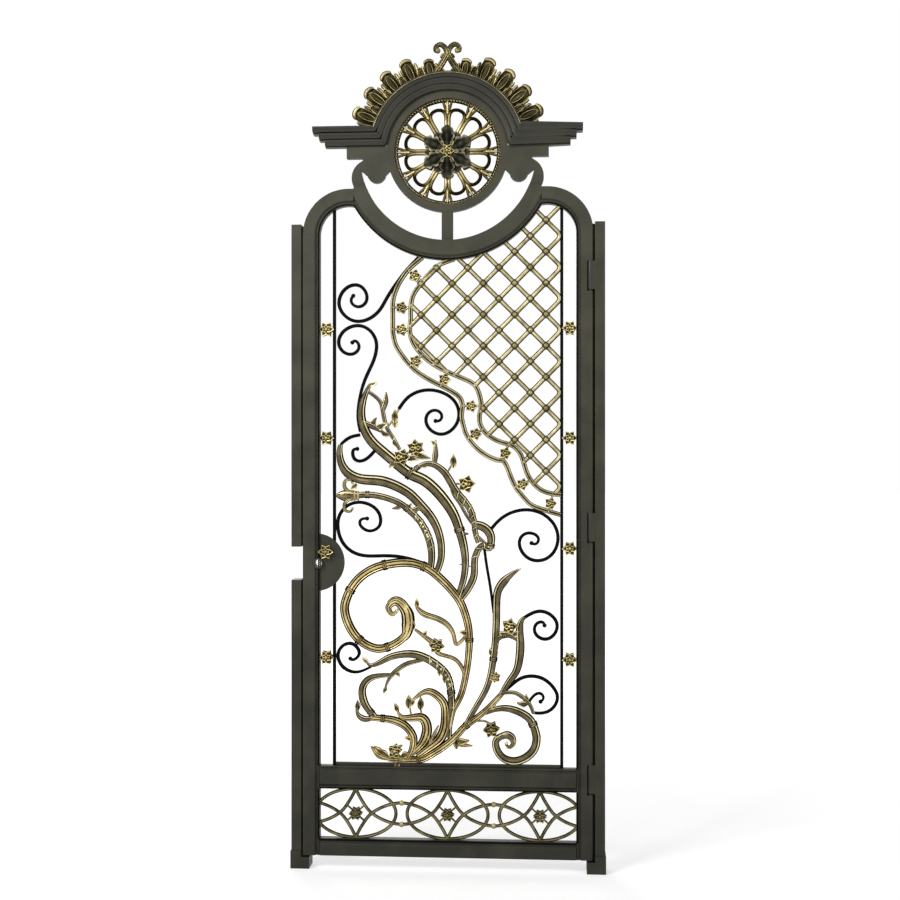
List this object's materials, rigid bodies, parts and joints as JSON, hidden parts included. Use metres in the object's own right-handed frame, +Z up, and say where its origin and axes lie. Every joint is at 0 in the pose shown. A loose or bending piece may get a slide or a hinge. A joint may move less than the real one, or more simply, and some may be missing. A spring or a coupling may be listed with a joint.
{
  "type": "wrought iron entrance gate",
  "caption": "Arched wrought iron gate leaf with pediment crown, rose roundel, scrollwork and diamond lattice, swinging between two rebated posts on hidden barrel hinges.",
  "frame": {"origin": "middle of the hinge post's foot, on the ground face", "axes": "+Z up, -Y the gate's front, +X from the latch post to the hinge post"},
  "size_m": [1.01, 0.0845, 2.6509],
  "materials": {
    "frame_paint": "satin dark olive paint",
    "black_iron": "satin black paint",
    "bronze_iron": "dark paint brushed with antique gold",
    "gilding": "antique gold leaf paint"
  },
  "bodies": {
    "posts": {"hinge_post": "frame_paint", "latch_post": "frame_paint", "hinge_post_shoe": "frame_paint", "latch_post_shoe": "frame_paint", "hinge_knuckles": "black_iron"},
    "leaf": {"hinge_stile": "frame_paint", "latch_stile": "frame_paint", "bottom_rail": "frame_paint", "middle_rail": "frame_paint", "hinge_shoulder": "frame_paint", "latch_shoulder": "frame_paint", "crescent_band": "frame_paint", "crown_plate": "frame_paint", "roundel_strut": "frame_paint", "cornice": "frame_paint", "rose_window": "gilding", "rose_boss": "frame_paint", "left_crest": "bronze_iron", "right_crest": "bronze_iron", "crest_finials": "bronze_iron", "left_bar": "black_iron", "right_bar": "black_iron", "panel_sill": "black_iron", "left_rosettes": "bronze_iron", "right_rosettes": "bronze_iron", "lock_plate": "black_iron", "lattice": "bronze_iron", "lattice_border": "bronze_iron", "border_rosettes": "bronze_iron", "upper_scrolls": "black_iron", "centre_scroll": "black_iron", "left_scrolls": "black_iron", "right_scrolls": "black_iron", "main_stem": "bronze_iron", "vine_stem": "bronze_iron", "left_branch": "bronze_iron", "big_volute": "bronze_iron", "low_left_stem": "bronze_iron", "low_left_leaves": "bronze_iron", "root_stem": "bronze_iron", "right_stems": "bronze_iron", "low_right_volute": "bronze_iron", "flowers": "bronze_iron", "panel_ovals": "bronze_iron", "panel_rosettes": "bronze_iron"}
  },
  "joints": [
    {"name": "leaf_swing", "type": "hinge", "parent": "posts", "child": "leaf", "pos_m": [-0.017, -0.011, 0], "axis": [0, 0, 1], "range_deg": [0, 90]}
  ]
}
